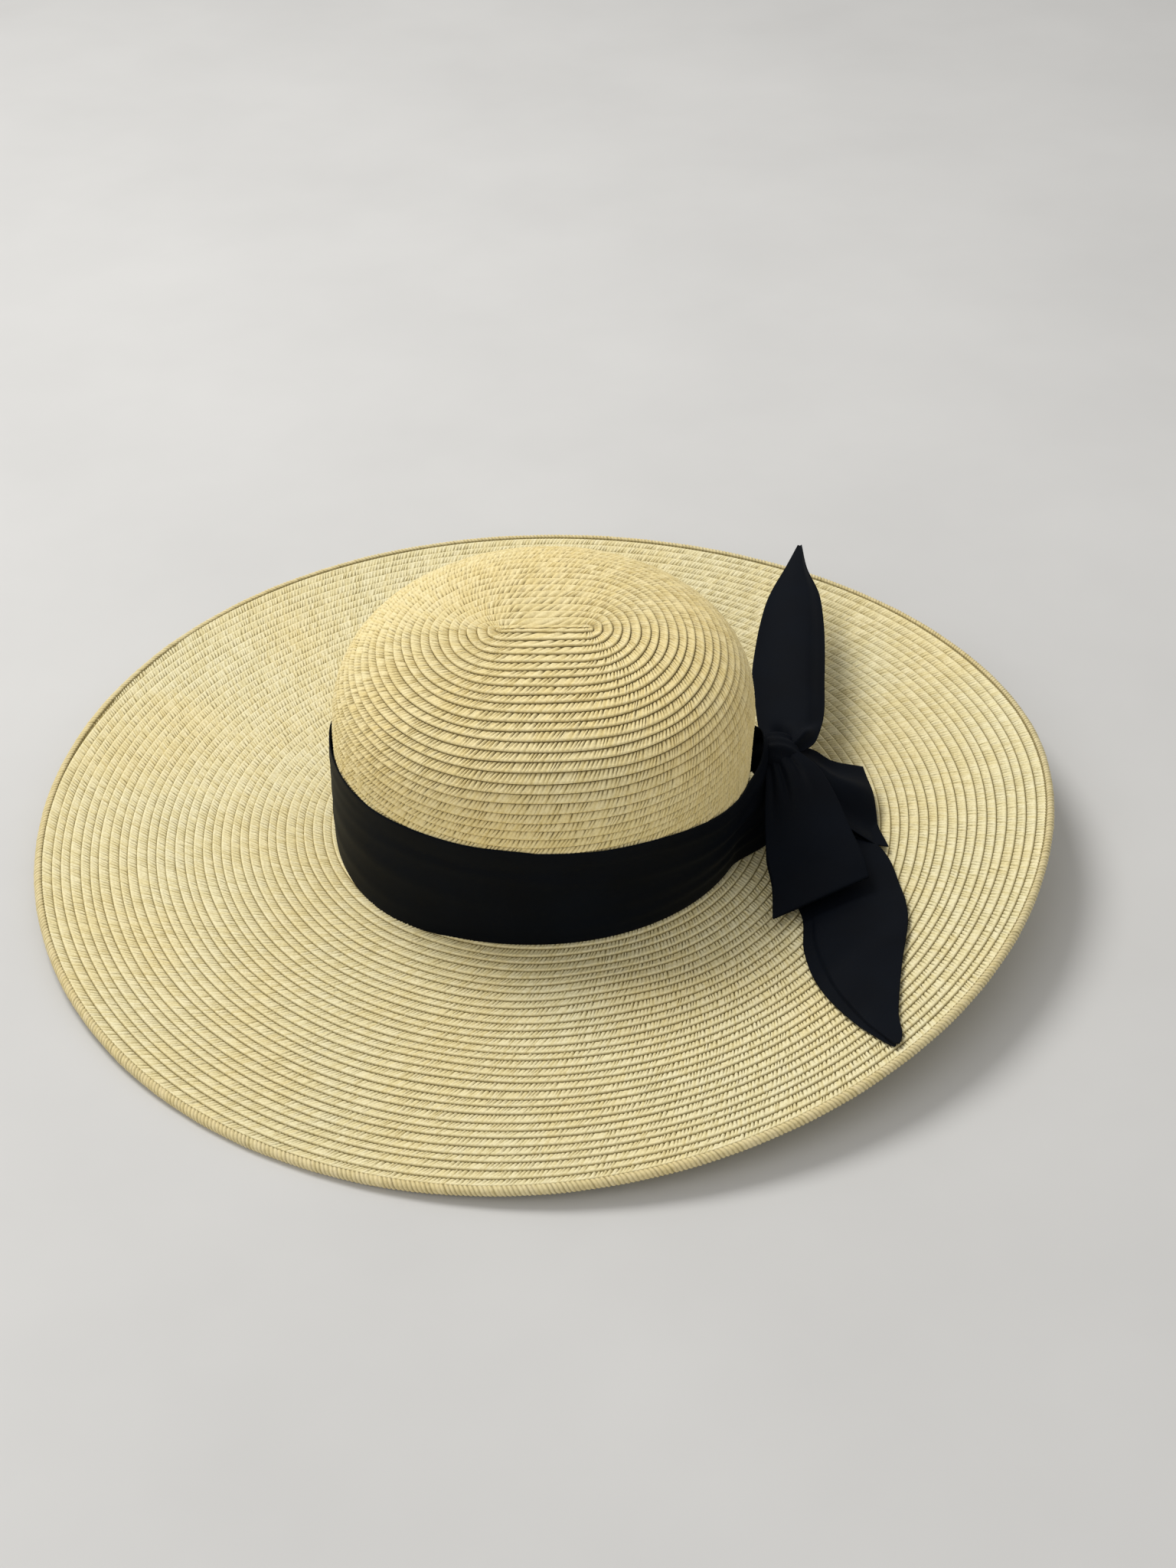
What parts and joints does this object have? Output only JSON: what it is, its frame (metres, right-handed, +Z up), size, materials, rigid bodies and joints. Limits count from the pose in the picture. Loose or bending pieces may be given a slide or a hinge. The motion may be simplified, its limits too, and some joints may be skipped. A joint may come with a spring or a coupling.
{
  "type": "straw sun hat",
  "caption": "Wide-brimmed straw sun hat: sewn-braid crown and upturned wavy brim, wired edge, dark ribbon band tied in a side bow.",
  "frame": {"origin": "on the surface the hat lies on, under the middle of the head opening, which is also the middle of the brim", "axes": "+Z up through the crown, +X towards the back of the hat where the bow is tied, +Y towards the wearer's right side"},
  "size_m": [0.47, 0.47, 0.1308],
  "materials": {
    "straw": "woven paper straw",
    "straw_edge": "rolled straw braid",
    "wire": "drawn wire",
    "joiner": "crimped sleeve",
    "lining": "ribbed cotton tape",
    "label": "plain satin tape",
    "ribbon": "matte satin weave",
    "thread": "sewing thread"
  },
  "bodies": {
    "hat": {"crown": "straw", "brim": "straw", "edge_binding": "straw_edge", "brim_wire": "wire", "wire_joiner": "joiner", "sweatband": "lining", "size_label": "label", "hat_band": "ribbon", "band_tacks": "thread", "bow_knot": "ribbon"},
    "bow_tail_up": {"upper_tail": "ribbon"},
    "bow_tail_low": {"lower_tail": "ribbon"},
    "bow_loop_back": {"back_loop": "ribbon"},
    "bow_loop_front": {"front_loop": "ribbon"}
  },
  "joints": [
    {"name": "upper_tail_lift", "type": "hinge", "parent": "hat", "child": "bow_tail_up", "pos_m": [0.113, 0.0185, 0.0463], "axis": [0.9928, -0.12, 0], "range_deg": [0, 40]},
    {"name": "lower_tail_lift", "type": "hinge", "parent": "hat", "child": "bow_tail_low", "pos_m": [0.111, -0.0075, 0.0378], "axis": [-0.9478, -0.3189, 0], "range_deg": [0, 30]},
    {"name": "back_loop_lift", "type": "hinge", "parent": "bow_tail_low", "child": "bow_loop_back", "pos_m": [0.1193, 0.003, 0.0293], "axis": [-0.3, -0.9539, 0], "range_deg": [0, 12]},
    {"name": "front_loop_lift", "type": "hinge", "parent": "bow_loop_back", "child": "bow_loop_front", "pos_m": [0.11, -0.0084, 0.0378], "axis": [-0.9798, -0.2, 0], "range_deg": [0, 30]}
  ]
}
